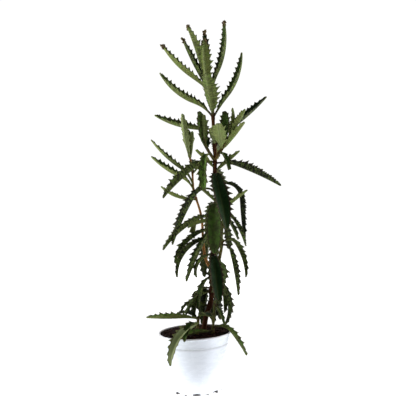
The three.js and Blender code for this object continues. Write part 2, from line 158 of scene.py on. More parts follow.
RIGHT_STEM = [
    (36, 2, 206), (41, -4, 216), (47, -8, 230), (52, -9, 250), (53, -9, 270), (56, -9, 294), (59, -9, 320),
    (62, -9, 334),
]
RIGHT_LEAVES = [
    (230, -75, 46, -55, -84, -92, 30, 1.35, 24),
    (254, -12, 101, 2, -79, -86, 26, 0.0, 46, 0, 0, 0.22),
    (257, 6, 95, 40, -62, -92, 22, 0.2),
    (288, 72, 66, 20, -50, -85, 20, -0.5),
    (306, -4, 73, 0, -62, -76, 18, 0.1),
    (307, -34, 54, -35, -60, -66, 14, 0.1),
    (318, -8, 53, 32, 35, 38, 16, 1.0),
    (327, 80, 32, 40, 66, 80, 16, 0.4),
]
FRONT_BASAL_STEM = [(4, -16, 60), (4, -17, 100), (6, -18, 120), (7, -18, 132)]
FRONT_BASAL_LEAVES = [
    (118, -114, 64, 20, 0, -75, 18, 0.3),
    (121, -111, 112, -7, -8, -87, 26, 2.0, 48, 0, -26),
    (128, 180, 91, 12, -1, 6, 24, 1.1),
    (126, 130, 60, 30, 10, -20, 16, -0.4),
    (129, -60, 50, 40, 10, -10, 16, 0.0),
]
RIGHT_BASAL_STEM = [(30, -14, 60), (31, -14, 100), (34, -14, 130), (37, -14, 158)]
RIGHT_BASAL_LEAVES = [
    (105, -149, 72, 6, 0, -8, 24, 0.6, 32),
    (111, -16, 84, 18, -54, -62, 18, 0.7, 48, 0, 0, 0.48),
    (134, 80, 80, 30, -10, -60, 20, -0.6),
    (152, -32, 42, -50, -64, -70, 12, 0.2),
]

# A shoot's node, seed, stem, radii and woodiness of its skin at foot and top, slot and sets of leaves
Shoot = namedtuple("Shoot", "node seed stem radii woody slot leaf_sets")
MAIN_SHOOT = Shoot(
    "main_shoot", 21, MAIN_STEM, (4.8, 2.6), (1.0, 0.8), "mature_leaves",
    {"lower_leaves": LOWER_LEAVES, "middle_leaves": MIDDLE_LEAVES, "crown_leaves": CROWN_LEAVES})


def short_shoot(name, seed, stem, radii, woody, slot, leaves):
    """A shoot with a single set of leaves"""
    return Shoot(f"{name}_shoot", seed, stem, radii, woody, slot, {f"{name}_leaves": leaves})


SIDE_SHOOTS = [
    short_shoot("left", 31, LEFT_STEM, (2.6, 1.6), (0.5, 0.35), "young_leaves", LEFT_LEAVES),
    short_shoot(
        "upper_right", 32, UPPER_RIGHT_STEM, (2.8, 2.2), (0.3, 0.1), "young_leaves", UPPER_RIGHT_LEAVES),
    short_shoot(
        "upper_left", 33, UPPER_LEFT_STEM, (2.6, 2.0), (0.2, 0.1), "young_leaves", UPPER_LEFT_LEAVES),
    short_shoot("right", 34, RIGHT_STEM, (3.2, 2.0), (0.2, 0.05), "shade_leaves", RIGHT_LEAVES),
]
BASAL_SHOOTS = [
    short_shoot(
        "front_basal", 41, FRONT_BASAL_STEM, (2.6, 2.2), (0.25, 0.1), "shade_leaves", FRONT_BASAL_LEAVES),
    short_shoot(
        "right_basal", 42, RIGHT_BASAL_STEM, (2.6, 2.0), (0.2, 0.05), "shade_leaves", RIGHT_BASAL_LEAVES),
]


def linear(code):
    """The linear colour of a six-figure screen colour"""
    parts = [int(code[i:i + 2], 16) / 255 for i in (0, 2, 4)]
    return tuple(c / 12.92 if c <= 0.04045 else ((c + 0.055) / 1.055) ** 2.4 for c in parts)


def tint(name, description, code):
    """A colour that a user may change"""
    return FloatVectorProperty(
        name=name, description=description, default=linear(code), subtype="COLOR", size=3, min=0, max=1)


def measure(name, description, metres, low=0.0):
    """A length that a user may change"""
    return FloatProperty(name=name, description=description, default=metres, min=low, unit="LENGTH")


def strength(name, description, value, unit="NONE"):
    """A power or the strength of a glow that a user may change"""
    return FloatProperty(name=name, description=description, default=value, min=0, unit=unit)


class PotSettings(bpy.types.PropertyGroup):
    """Sizes and finish of the nursery pot"""
    rim_radius: measure("Rim radius", "Outer radius of the rolled lip", POT_HIGH.x, 20 * MM)
    height: measure("Height", "From the foot to the lip", POT_HIGH.z, 20 * MM)
    base_radius: measure("Base radius", "Outer radius of the foot", 45.5 * MM, 10 * MM)
    wall: measure("Wall", "Thickness of the plastic", 1.5 * MM, 0.5 * MM)
    collar_height: measure("Collar height", "From the lip down to the step", 19 * MM)
    large_notch: measure("Large notch", "Width of the larger drain notches", 11 * MM)
    small_notch: measure("Small notch", "Width of the smaller drain notches", 6.5 * MM)
    plastic: tint("Plastic", "Colour of the pot", "d6dce5")
    # Soil staining and painted shade: darkens the inside wall above the soil, the drain notches and the
    # hollow under the floor
    stain: tint("Stain", "Soil stain inside the wall and the drain notches", "20130d")


class SoilSettings(bpy.types.PropertyGroup):
    """Look of the bark soil"""
    chips: IntProperty(name="Bark chips", description="Number of chips on the top", default=780, min=0)
    crumbs: IntProperty(name="Crumbs", description="Number of small crumbs", default=1500, min=0)
    chip_length: measure("Chip length", "Length of a usual bark chip", 7 * MM)
    peat: tint("Peat", "Dark colour of the fine mix", "0f0704")
    bark: tint("Bark", "Colour of the bark chips", "3c1b0f")


class LeafSettings(bpy.types.PropertyGroup):
    """Form and colours of the leaves"""
    tooth_pitch: measure("Tooth pitch", "Distance between teeth", 9.6 * MM, 3 * MM)
    thickness: measure("Thickness", "Thickness of a large blade at its midrib", 2.4 * MM, 0.5 * MM)
    upper: tint("Upper face", "Dark upper face of a grown leaf", "12290b")
    upper_young: tint("Young upper face", "Upper face of a young leaf", "54762c")
    under: tint("Underside", "Olive underside of a grown leaf", "454d2a")
    under_young: tint("Young underside", "Underside of a young leaf", "5e6534")
    streak: tint("Streaks", "Dark mottling of the underside", "10110a")
    margin: tint("Margin", "Dark rim of the upper face", "311f1f")
    bloom: tint("Bloom", "Pale waxy bloom of the youngest leaves", "78825a")
    plantlet: tint("Plantlets", "Small plantlets in the notches", "5a3f36")


class StemSettings(bpy.types.PropertyGroup):
    """Colours of the stems"""
    woody: tint("Woody skin", "Old purple-brown skin", "361c0b")
    tan: tint("Tan skin", "Half-ripe skin of a side shoot", "98693b")
    green: tint("Green skin", "Young skin", "474f29")
    flush: tint("Flush", "Dark red flush at the leaf nodes", "250e0b")


class StageSettings(bpy.types.PropertyGroup):
    """Camera, lights and floor"""
    lens: FloatProperty(name="Lens", description="Focal length", default=39.81, min=10, unit="CAMERA")
    distance: measure("Distance", "Camera in front of the pot's axis", 0.817, 0.2)
    eye_height: measure("Eye height", "Camera above the floor", 0.277)
    aside: measure("Aside", "Camera to the right of the pot's axis", 0.031)
    tilt: FloatProperty(
        name="Tilt", description="Roll of the camera", default=math.radians(2.2), subtype="ANGLE")
    left_light: strength("Left light", "Power of the left light", 26, "POWER")
    right_light: strength("Right light", "Power of the right light", 22.5, "POWER")
    top_light: strength("Top light", "Power of the top light", 0.8, "POWER")
    front_glow: strength("Front glow", "Strength of the surroundings in front", 0.0)
    back_glow: strength("Back glow", "Strength of the surroundings behind", 1.05)
    floor: tint("Floor", "Colour of the floor", "f7f7f8")
    floor_near: strength("Floor near", "Glow of the floor round the foot", 1.9)
    floor_far: strength("Floor far", "Glow of the floor that hides its edge", 0.8)


def smoothstep(x, low, high):
    """A smooth rise from 0 to 1 between two places"""
    t = np.clip((x - low) / (high - low), 0, 1)
    return t * t * (3 - 2 * t)


def bell(x, half):
    """1 at zero, falling off smoothly to either side"""
    return np.exp(-((x / half) ** 2))


def ripple(x, start):
    """A sine wave over x, one wave a unit"""
    return np.sin(2 * np.pi * (x + start))


def round_angles(sides):
    """Even angles round a circle"""
    return np.arange(sides) / sides * 2 * np.pi


def at_stations(s, table, stations):
    """Rows of a table that is given at s, worked out at the stations"""
    return np.stack([np.interp(stations, s, table[:, i]) for i in range(table.shape[1])], 1)


def tube_faces(rings, sides, first=0):
    """Faces between rings of points, each ring after the last"""
    faces = []
    for a in range(first, first + (rings - 1) * sides, sides):
        for c in range(sides):
            d = (c + 1) % sides
            faces.append((a + c, a + d, a + sides + d, a + sides + c))
    return faces


def fan(centre, first, sides):
    """Faces from a centre to a ring of points"""
    return [(centre, first + c, first + (c + 1) % sides) for c in range(sides)]


def flipped(faces):
    """The same faces, facing the other way"""
    return [(face[0], *face[:0:-1]) for face in faces]


def capsule_faces(rings, sides, first, low, high):
    """Faces of a tube of rings with a point over either end"""
    last = first + (rings - 1) * sides
    return [*flipped(fan(low, first, sides)), *tube_faces(rings, sides, first), *fan(high, last, sides)]


def added(name, data):
    """A new object of the scene"""
    made = bpy.data.objects.new(name, data)
    bpy.context.scene.collection.objects.link(made)
    return made


def plain_object(name, points, faces):
    """A bare object in metres, from points in millimetres"""
    mesh = bpy.data.meshes.new(name)
    mesh.from_pydata((np.array(points) * MM).tolist(), [], faces)
    return added(name, mesh)


def settle(piece, material, node):
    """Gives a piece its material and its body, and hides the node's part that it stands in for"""
    piece.data.materials.clear()
    piece.data.materials.append(material)
    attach(piece, "root")
    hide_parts(node)


class Build:
    """Collects the points, faces and markings of one piece"""

    def __init__(self):
        self.points = []
        self.faces = []
        self.marks = {}
        self.count = 0

    def add(self, points, faces, **marks):
        """Adds points in millimetres, faces by their place in them, and a marking for each point"""
        points = np.asarray(points, float)
        self.points.append(points)
        self.faces.extend([tuple(i + self.count for i in face) for face in faces])
        for name, values in marks.items():
            values = np.asarray(values, float)
            if values.ndim == 0:
                values = np.full(len(points), float(values))
            self.marks.setdefault(name, []).append(values)
        self.count += len(points)

    def finish(self, name, material, node):
        """Makes the piece, smooth and with its markings"""
        if not self.count:
            raise RuntimeError(f"{name} has no points")
        piece = plain_object(name, np.concatenate(self.points), self.faces)
        for mark, parts in self.marks.items():
            values = np.concatenate(parts).astype(np.float32)
            kind, field = ("FLOAT", "value") if values.ndim == 1 else ("FLOAT_VECTOR", "vector")
            piece.data.attributes.new(mark, kind, "POINT").data.foreach_set(field, values.ravel())
        piece.data.shade_smooth()
        settle(piece, material, node)


# Leaf blade, in millimetres or in shares of its length or width
MIDRIB_STEPS = 60
BLADE_START = 0.13
FLATTENING = (0.09, 0.2)
WIDEST_POWER = 0.97
BLADE_FULLNESS = 0.55
NOTCH_LINE = 0.37
TIP_NARROWING = 0.55
LEAST_THICKNESS, THICKNESS_SHARE = 0.9, 0.07
TIP_THINNING, MARGIN_THINNING = 0.4, 0.62
INNER = np.array([0.0, 0.16, 0.38, 0.62, 0.84, 1.0])
TOOTH = np.array([0.5, 1.0])
SHARES = np.concatenate([INNER * 0.84, [0.92, 1.0]])
TIP_OPENING = 0.35
MARGIN_OPENING = 0.12
KEEL_HEIGHT, KEEL_HALF = 0.8, 1.8
GROOVE_DEPTH, GROOVE_HALF = 0.45, 1.3
PALE_KEEL_HALF = 1.6
ROLL_SWING, ROLL_WAVES = 4, 0.7
BEND_SWING, BEND_WAVES = 0.06, 2.3
WAVE_HEIGHT, TEETH_PER_WAVE = 0.5, 2.4
LEAF_GRAIN_SPREAD = 900

# Teeth
TOOTH_PHASES = (0, 0.2, 0.35, 0.5, 0.7, 0.85)
TOOTH_PEAK = 0.7
TOOTH_BACK = 1.7
TOOTH_FRONT = 1.5
PITCH_SPREAD = (0.78, 1.25)
SIZE_SPREAD = (0.62, 1.3)
FEWEST_TEETH = 4
TOOTH_HEIGHT, LEAST_TOOTH = 0.19, 0.9
TOOTH_LEAN, LEAN_POWER = 0.3, 1.3

# Petiole
PETIOLE_RINGS = 8
PETIOLE_HALF, LEAST_STALK, STALK_SHARE = 2.1, 0.3, 0.13
PETIOLE_THICK = 3.1
CLASP_PLACE, CLASP_HALF, CLASP_SWELLING = 4, 2.5, 0.4

# A leaf's outline and midrib by ring, and its section by half (left, right), ring and column
SIDES = np.array([-1, 1])[:, None, None]
Outline = namedtuple("Outline", "s u inner teeth heights phases")
Line = namedtuple("Line", "place along up across")
Section = namedtuple("Section", "reach bend out rise body push")


def tooth_shape(f):
    """Height of a tooth at a share of its pitch: a long hollow back and a short hooked front"""
    back = np.clip(f / TOOTH_PEAK, 0, 1) ** TOOTH_BACK
    front = np.clip((1 - f) / (1 - TOOTH_PEAK), 0, 1) ** TOOTH_FRONT
    return np.where(f < TOOTH_PEAK, back, front)


def blade_outline(leaf, pitch, random):
    """Shares of the length (s) and blade (u), inner half width, and each half's tooth heights and phases"""
    teeth = max(FEWEST_TEETH, round(leaf.length * (1 - BLADE_START) / pitch))
    notches = np.append(0, np.cumsum(random.uniform(*PITCH_SPREAD, teeth)))
    count = (np.arange(teeth)[:, None] + TOOTH_PHASES).ravel()
    blade = np.interp(count, np.arange(teeth + 1), notches / notches[-1])
    foot = np.linspace(0, 1, PETIOLE_RINGS, endpoint=False)
    s = np.concatenate([foot * BLADE_START, BLADE_START + (1 - BLADE_START) * blade])
    u, count = (np.concatenate([foot * 0, part]) for part in (blade, count))
    envelope = leaf.width * np.sin(np.pi * u ** WIDEST_POWER) ** BLADE_FULLNESS
    stalk = min(PETIOLE_HALF, STALK_SHARE * leaf.width + LEAST_STALK) * (
        1 - TIP_NARROWING * smoothstep(u, 0.8, 1))
    clasp = 1 + CLASP_SWELLING * bell(s * leaf.length - CLASP_PLACE, CLASP_HALF)
    inner = ((NOTCH_LINE * envelope) ** 4 + (stalk * clasp) ** 4) ** 0.25
    fade = smoothstep(u, 0, 0.05) * (1 - 0.5 * smoothstep(u, 0.9, 1))
    phases = (count + [[0], [0.5]]) % 1
    sizes = random.uniform(*SIZE_SPREAD, (2, teeth + 2))[:, (count + 0.5).astype(int)]
    heights = (TOOTH_HEIGHT * envelope + LEAST_TOOTH) * sizes * fade * tooth_shape(phases)
    return Outline(s, u, inner, teeth, heights, phases)


def midrib(foot, leaf, stations, random):
    """Places along a leaf's midrib and the directions there, rolled about it"""
    s = np.linspace(0, 1, MIDRIB_STEPS + 1)
    arch = leaf.foot + (leaf.middle - leaf.foot) * smoothstep(s, 0, leaf.arch)
    fall = leaf.middle + (leaf.tip - leaf.middle) * (s - leaf.arch) / (1 - leaf.arch)
    slope = np.radians(np.where(s < leaf.arch, arch, fall))[:, None]
    heading = np.radians(leaf.heading + leaf.swerve * s)
    flat = np.stack([np.cos(heading), np.sin(heading), np.zeros_like(s)], 1)
    upright = np.array([0, 0, 1.0])
    along = flat * np.cos(slope) + upright * np.sin(slope)
    up = -flat * np.sin(slope) + upright * np.cos(slope)
    across = np.cross(along, up)
    steps = np.cumsum(along[:-1] * (leaf.length / MIDRIB_STEPS), axis=0)
    places = foot + np.vstack([np.zeros(3), steps])
    place, along, up, across = (at_stations(s, table, stations) for table in (places, along, up, across))
    roll = np.radians(leaf.roll + ROLL_SWING * ripple(ROLL_WAVES * stations, random.random()))[:, None]
    return Line(
        place, along, up * np.cos(roll) - across * np.sin(roll), across * np.cos(roll) + up * np.sin(roll))


def blade_section(leaf, looks, outline, random):
    """How both halves of a blade reach out, fold up, wave and thicken, and how the teeth lean"""
    s, u, inner = (values[:, None] for values in (outline.s, outline.u, outline.inner))
    height = outline.heights[..., None]
    reach = np.concatenate([np.tile(inner * INNER, (2, 1, 1)), inner + height * TOOTH], axis=2)
    fold = np.radians(leaf.fold) * smoothstep(s, -0.06, 0.17) * (1 - TIP_OPENING * smoothstep(s, 0.5, 1))
    bend = fold * smoothstep(SHARES, -0.05, 0.24) * (1 - MARGIN_OPENING * smoothstep(SHARES, 0.55, 1))
    bend_start, wave_start = random.random((2, 2)).T[..., None, None]
    bend = bend + BEND_SWING * ripple(u * BEND_WAVES, bend_start) * SHARES
    middle = (bend[..., 1:] + bend[..., :-1]) / 2
    run = np.diff(reach, axis=2)
    out, rise, push = (np.zeros_like(reach) for _ in range(3))
    out[..., 1:] = np.cumsum(np.cos(middle) * run, axis=2)
    rise[..., 1:] = np.cumsum(np.sin(middle) * run, axis=2)
    flat = smoothstep(s, *FLATTENING)
    wave = WAVE_HEIGHT * ripple(u * outline.teeth / TEETH_PER_WAVE, wave_start) * SHARES ** 3
    out -= wave * np.sin(bend) * flat
    rise += wave * np.cos(bend) * flat
    stalk = PETIOLE_THICK * np.sqrt(1 - 0.999 * SHARES ** 2)
    thick = min(looks.thickness / MM, LEAST_THICKNESS + THICKNESS_SHARE * leaf.width)
    thick = thick * (1 - TIP_THINNING * u) * (1 - MARGIN_THINNING * SHARES ** 1.5)
    body = stalk * (1 - flat) + thick * flat
    pitch = leaf.length * (1 - BLADE_START) / outline.teeth
    tallest = np.maximum(height.max(axis=1, keepdims=True), 0.1)
    push[..., len(INNER):] = (height * TOOTH / tallest) ** LEAN_POWER * TOOTH_LEAN * pitch
    return Section(reach, bend, out, rise, body, push)


def blade_face(line, section, lift):
    """Points of one face of both halves, lifted off the middle of their thickness"""
    lift[..., -1] = 0
    sideways = SIDES * (section.out - np.sin(section.bend) * lift)
    raised = section.rise + np.cos(section.bend) * lift
    return (
        line.place[:, None] + line.along[:, None] * section.push[..., None]
        + line.across[:, None] * sideways[..., None] + line.up[:, None] * raised[..., None])


def round_blade(top, under=None):
    """Columns of the halves' faces, which may be alike, in one ring over the top and back beneath"""
    under = top if under is None else under
    return np.concatenate([top[0][:, :0:-1], top[1], under[1][:, -2:0:-1], under[0][:, :-1]], axis=1)


def make_leaf(build, foot, leaf, looks, tone, random):
    """Adds one fleshy toothed leaf, folded up along its midrib, and the plantlets in its notches"""
    outline = blade_outline(leaf, looks.tooth_pitch / MM, random)
    line = midrib(foot, leaf, outline.s, random)
    section = blade_section(leaf, looks, outline, random)
    groove = GROOVE_DEPTH * bell(section.reach, GROOVE_HALF)
    keel = KEEL_HEIGHT * smoothstep(outline.s, *FLATTENING)[:, None] * bell(section.reach, KEEL_HALF)
    top = blade_face(line, section, section.body / 2 - groove)
    under = blade_face(line, section, -section.body / 2 - keel)
    points = round_blade(top, under).reshape(-1, 3)
    reach = round_blade(SIDES * section.reach)
    rings, width = reach.shape
    margin = round_blade(np.tile(smoothstep(SHARES, 0.62, 1), (2, 1, 1)))[0]
    tops = 2 * len(SHARES) - 1
    beneath = np.repeat([0.0, 1.0], [tops, width - tops])
    beneath[[0, tops - 1]] = 0.5
    last = len(points) - width
    tip = points[last:].mean(axis=0) + line.along[-1] * leaf.length * (1 - outline.s[-1]) * 0.8
    spot = random.uniform(0, LEAF_GRAIN_SPREAD)
    grain = np.column_stack(
        [reach.ravel(), np.repeat(outline.s * leaf.length, width), np.full(reach.size, spot)])
    build.add(
        np.vstack([points, tip]),
        [tuple(range(width))[::-1], *tube_faces(rings, width), *fan(len(points), last, width)],
        under=np.append(np.tile(beneath, rings), 0.5),
        edge=np.append(np.tile(margin, rings), 1),
        keel=np.append(bell(reach.ravel(), PALE_KEEL_HALF), 0.3),
        reach=np.append(np.repeat(outline.s, width), 1),
        tone=tone,
        bud=0.0,
        grain=np.vstack([grain, grain[-1]]),
    )
    add_plantlets(build, leaf, outline, section, line, tone, random)


# Plantlets, in millimetres
NOTCHES_FILLED = 0.9
FULL_WIDTH = 22
TIP_PLANTLETS = 16
TUFTED_FROM = 510
BIG_TUFT, SMALL_TUFT = 2.9, 0.8
TUFT_PLACES = (-2.9, 0.3)
NOTCH_SIZES, TUFT_SIZES = (0.7, 1.3), (0.8, 1.3)
LEAFLETS = 4
LEAFLET_OPENING = (0.6, 1.2)
LEAFLET_LENGTH, BELLY_PLACE, BELLY_HALF, BELLY_THICK = 1.5, 0.6, 0.5, 0.3
OCTAHEDRON = [(0, 2, 4), (2, 1, 4), (1, 3, 4), (3, 0, 4), (2, 0, 5), (1, 2, 5), (3, 1, 5), (0, 3, 5)]


def add_plantlets(build, leaf, outline, section, line, tone, random):
    """Adds plantlets in the notches of a leaf and a tuft of them at its tip"""
    notch = len(INNER) - 1
    for half, side in enumerate(SIDES.ravel()):
        for ring in range(PETIOLE_RINGS + 2, len(outline.u)):
            if outline.phases[half, ring] > 0 or random.random() > NOTCHES_FILLED:
                continue
            tilt, out, rise = (
                table[half, ring, notch] for table in (section.bend, section.out, section.rise))
            across, up = side * line.across[ring], line.up[ring]
            outward = across * math.cos(tilt) + up * math.sin(tilt)
            normal = -across * math.sin(tilt) + up * math.cos(tilt)
            root = line.place[ring] + across * out + up * rise
            root = root + normal * section.body[ring, notch] * 0.3
            size = (0.7 + 0.7 * outline.u[ring] ** 2) * random.uniform(*NOTCH_SIZES) * min(
                1, leaf.width / FULL_WIDTH)
            add_plantlet(build, root, outward * 0.9 + normal * 0.5, line.along[ring], size, tone, random)
    tuft = BIG_TUFT if leaf.height > TUFTED_FROM else SMALL_TUFT
    place, along, up, across = (way[-1] for way in line)
    for _ in range(TIP_PLANTLETS):
        lean = across * random.uniform(-1, 1) + up * random.uniform(-0.4, 1)
        root = place + (along * random.uniform(*TUFT_PLACES) + lean * 0.7) * tuft
        size = tuft * random.uniform(*TUFT_SIZES)
        add_plantlet(build, root, along * 0.8 + lean, across, size, tone, random)


def add_plantlet(build, root, direction, side, size, tone, random):
    """Adds one plantlet: a bud with leaflets spread round it"""
    direction = direction / np.linalg.norm(direction)
    side = side - direction * (side @ direction)
    side /= np.linalg.norm(side)
    other = np.cross(direction, side)
    turn = random.uniform(0, 2 * math.pi)
    add_leaflet(build, root - direction * 0.4, direction, side, size, tone, random)
    for i in range(LEAFLETS):
        angle = turn + i * 2 * math.pi / LEAFLETS
        spread = side * math.cos(angle) + other * math.sin(angle)
        aim = direction + spread * random.uniform(*LEAFLET_OPENING)
        aim /= np.linalg.norm(aim)
        add_leaflet(build, root, aim, np.cross(aim, spread) + side * 0.01, size * 0.8, tone, random)


def add_leaflet(build, root, direction, side, size, tone, random):
    """Adds one tiny thick leaflet of a plantlet"""
    normal = np.cross(direction, side)
    normal /= np.linalg.norm(normal)
    wide = np.cross(normal, direction)
    belly = root + direction * size * BELLY_PLACE
    out, up = wide * size * BELLY_HALF, normal * size * BELLY_THICK
    tip = root + direction * size * LEAFLET_LENGTH
    points = [root, tip, belly + out, belly - out, belly + up, belly - up]
    build.add(
        points, OCTAHEDRON, under=0.0, edge=0.0, keel=0.0, reach=0.0, tone=tone,
        bud=random.uniform(0.55, 1), grain=points)


# Stems, in millimetres
STEM_RING_STEP = 1.6
STEM_SIDES = 28
NODE_SWELLING, NODE_HALF = 0.2, 3.2
STEM_ROUGHNESS = 0.012
STEM_END = 0.55
GRAIN_ROUND = 5
CENTRE_STEPS = 400
TONE_SPREAD = 0.08


def between(four, t):
    """A point between the middle two of four, on a centripetal curve through them"""
    p0, p1, p2, p3 = four
    d0, d1, d2 = (math.sqrt(np.linalg.norm(b - a)) for a, b in ((p0, p1), (p1, p2), (p2, p3)))
    t1 = ((p1 - p0) / d0 - (p2 - p0) / (d0 + d1) + (p2 - p1) / d1) * d1
    t2 = ((p2 - p1) / d1 - (p3 - p1) / (d1 + d2) + (p3 - p2) / d2) * d1
    bend = -3 * p1 + 3 * p2 - 2 * t1 - t2
    turn = 2 * p1 - 2 * p2 + t1 + t2
    return p1 + t1 * t + bend * t * t + turn * t ** 3


def stem_line(points, count):
    """Places and directions along a smooth stem line through given points"""
    given = [np.array(p, float) for p in points]
    line = [2 * given[0] - given[1], *given, 2 * given[-1] - given[-2]]
    places = []
    for t in np.linspace(0, len(given) - 1, count):
        part = min(int(t), len(given) - 2)
        places.append(between(line[part:part + 4], t - part))
    places = np.array(places)
    directions = np.gradient(places, axis=0)
    return places, directions / np.linalg.norm(directions, axis=1)[:, None]


def centre_at(shoot, height):
    """The point of a stem's centre line at a height"""
    places, _ = stem_line(shoot.stem, CENTRE_STEPS)
    return at_stations(places[:, 2], places, [height])[0]


def make_stem(build, shoot, random):
    """Adds a shoot's stem, with swollen nodes and fine grooves"""
    length = sum(np.linalg.norm(np.subtract(b, a)) for a, b in zip(shoot.stem, shoot.stem[1:]))
    rings = int(length / STEM_RING_STEP)
    places, directions = stem_line(shoot.stem, rings)
    heights = places[:, 2, None]
    leaf_heights = [row[0] for rows in shoot.leaf_sets.values() for row in rows]
    swelling = bell(heights - leaf_heights, NODE_HALF).max(axis=1)
    share = np.linspace(0, 1, rings)
    radius, woody = (foot + (top - foot) * share for foot, top in (shoot.radii, shoot.woody))
    across = np.cross((0, 1.0, 0), directions)
    across /= np.linalg.norm(across, axis=1)[:, None]
    other = np.cross(directions, across)
    angle = round_angles(STEM_SIDES)
    grooves = 0.025 * np.sin(7 * angle + 1) + 0.02 * np.sin(11 * angle + 0.09 * heights)
    grooves = grooves + random.uniform(-STEM_ROUGHNESS, STEM_ROUGHNESS, (rings, STEM_SIDES))
    size = radius[:, None] * (1 + NODE_SWELLING * swelling[:, None] + grooves)
    size[-1] *= STEM_END
    points = (
        places[:, None] + across[:, None] * (size * np.cos(angle))[..., None]
        + other[:, None] * (size * np.sin(angle))[..., None])
    caps = [tuple(range(STEM_SIDES))[::-1], tuple(range((rings - 1) * STEM_SIDES, rings * STEM_SIDES))]
    rounds = [np.tile(turn(angle) * GRAIN_ROUND, rings) for turn in (np.cos, np.sin)]
    build.add(
        points.reshape(-1, 3), caps + tube_faces(rings, STEM_SIDES),
        woody=np.repeat(woody, STEM_SIDES),
        node=np.repeat(swelling, STEM_SIDES),
        grain=np.column_stack([*rounds, np.repeat(heights, STEM_SIDES)]),
    )


def make_shoot(shoot):
    """Builds a shoot's stem and its sets of leaves as pieces that stand for its node"""
    scene = bpy.context.scene
    random = np.random.default_rng(shoot.seed)
    stem = Build()
    make_stem(stem, shoot, random)
    name = shoot.node.replace("_shoot", "_stem")
    stem.finish(name, stem_skin(scene.plant_stem), shoot.node)
    for name, rows in shoot.leaf_sets.items():
        leaves = Build()
        for leaf in (Leaf(*row) for row in rows):
            tone = leaf.tone + random.uniform(-TONE_SPREAD, TONE_SPREAD)
            make_leaf(leaves, centre_at(shoot, leaf.height), leaf, scene.plant_leaf, tone, random)
        leaves.finish(name, leaf_skin(scene.plant_leaf), shoot.node)


class Nodes:
    """Fills the node tree of a material or of the surroundings"""

    def __init__(self, owner):
        owner.use_nodes = True
        self.tree = owner.node_tree
        self.tree.nodes.clear()

    def add(self, kind, inputs=None, **options):
        """A node with its options set and its inputs linked or given a value"""
        node = self.tree.nodes.new(kind)
        for key, value in options.items():
            setattr(node, key, value)
        for key, value in (inputs or {}).items():
            socket = node.inputs[key]
            if isinstance(value, bpy.types.NodeSocket):
                self.tree.links.new(value, socket)
            else:
                socket.default_value = (*value, 1) if socket.type == "RGBA" else value
        return node

    def mark(self, name, output="Fac"):
        """A marking of the mesh"""
        return self.add("ShaderNodeAttribute", attribute_name=name).outputs[output]

    def place(self, kind="Object"):
        """The place of a point, or the direction that is looked in"""
        return self.add("ShaderNodeTexCoord").outputs[kind]

    def split(self, vector):
        """The three parts of a vector, by their names X, Y and Z"""
        return self.add("ShaderNodeSeparateXYZ", {0: vector}).outputs

    def maths(self, operation, *values, kind="ShaderNodeMath", output=0):
        """A sum or other result of numbers"""
        return self.add(kind, dict(enumerate(values)), operation=operation).outputs[output]

    def stretch(self, vector, by):
        """A vector multiplied part by part"""
        return self.maths("MULTIPLY", vector, by, kind="ShaderNodeVectorMath")

    def length(self, vector):
        """The length of a vector"""
        return self.maths("LENGTH", vector, kind="ShaderNodeVectorMath", output="Value")

    def product(self, first, *others):
        """Numbers multiplied"""
        for other in others:
            first = self.maths("MULTIPLY", first, other)
        return first

    def ramp(self, value, low, high, to_low=0.0, to_high=1.0, kind="LINEAR"):
        """A number moved evenly from one range to another, and kept in it"""
        inputs = {"Value": value, "From Min": low, "From Max": high, "To Min": to_low, "To Max": to_high}
        return self.add("ShaderNodeMapRange", inputs, interpolation_type=kind).outputs[0]

    def smooth(self, value, low, high, to_low=0.0, to_high=1.0):
        """A number moved smoothly from one range to another, and kept in it"""
        return self.ramp(value, low, high, to_low, to_high, "SMOOTHSTEP")

    def noise(self, vector, scale, detail, roughness=0.55, stretch=None):
        """Cloudy noise over a vector that may be stretched first"""
        if stretch:
            vector = self.stretch(vector, stretch)
        inputs = {"Vector": vector, "Scale": scale, "Detail": detail, "Roughness": roughness}
        return self.add("ShaderNodeTexNoise", inputs).outputs[0]

    def blend(self, factor, a, b):
        """Two colours mixed"""
        return self.add("ShaderNodeMix", {0: factor, 6: a, 7: b}, data_type="RGBA").outputs[2]

    def coats(self, colour, *coats):
        """A colour under coats, each a factor and a colour"""
        for factor, coat in coats:
            colour = self.blend(factor, colour, coat)
        return colour

    def relief(self, *bumps):
        """A normal bent by bumps, each a height, a strength and a distance in metres"""
        bent = {}
        for height, strength, distance in bumps:
            inputs = {"Height": height, "Strength": strength, "Distance": distance, **bent}
            bent = {"Normal": self.add("ShaderNodeBump", inputs).outputs[0]}
        return bent["Normal"]


def surface(fill):
    """Turns a function that fills a tree and gives the shader's inputs into one that gives the material"""
    @wraps(fill)
    def material(looks):
        found = bpy.data.materials.get(fill.__name__)
        if found:
            return found
        made = bpy.data.materials.new(fill.__name__)
        nodes = Nodes(made)
        shader = nodes.add("ShaderNodeBsdfPrincipled", fill(nodes, looks))
        nodes.add("ShaderNodeOutputMaterial", {"Surface": shader.outputs[0]})
        return made
    return material


# Colours of shade, dirt and wear, linear
LEAF_SHADE = (0.004, 0.012, 0.004)
DEEP_SHADE = (0.002, 0.004, 0.002)
RED_PETIOLE = (0.03, 0.01, 0.009)
CLOUDED_PLASTIC = (0.64, 0.68, 0.75)
SCUFFED_PLASTIC = (0.62, 0.62, 0.62)
PAINTED_CREASE_SHADE = (0.3, 0.3, 0.32)
GREY_BROWN_LIP = (0.36, 0.32, 0.3)
LIGHT_BARK = (0.11, 0.05, 0.028)
WET_PEAT = (0.006, 0.004, 0.003)
FLOOR_CLOUD = (0.9, 0.9, 0.9)
WHITE = (1, 1, 1)


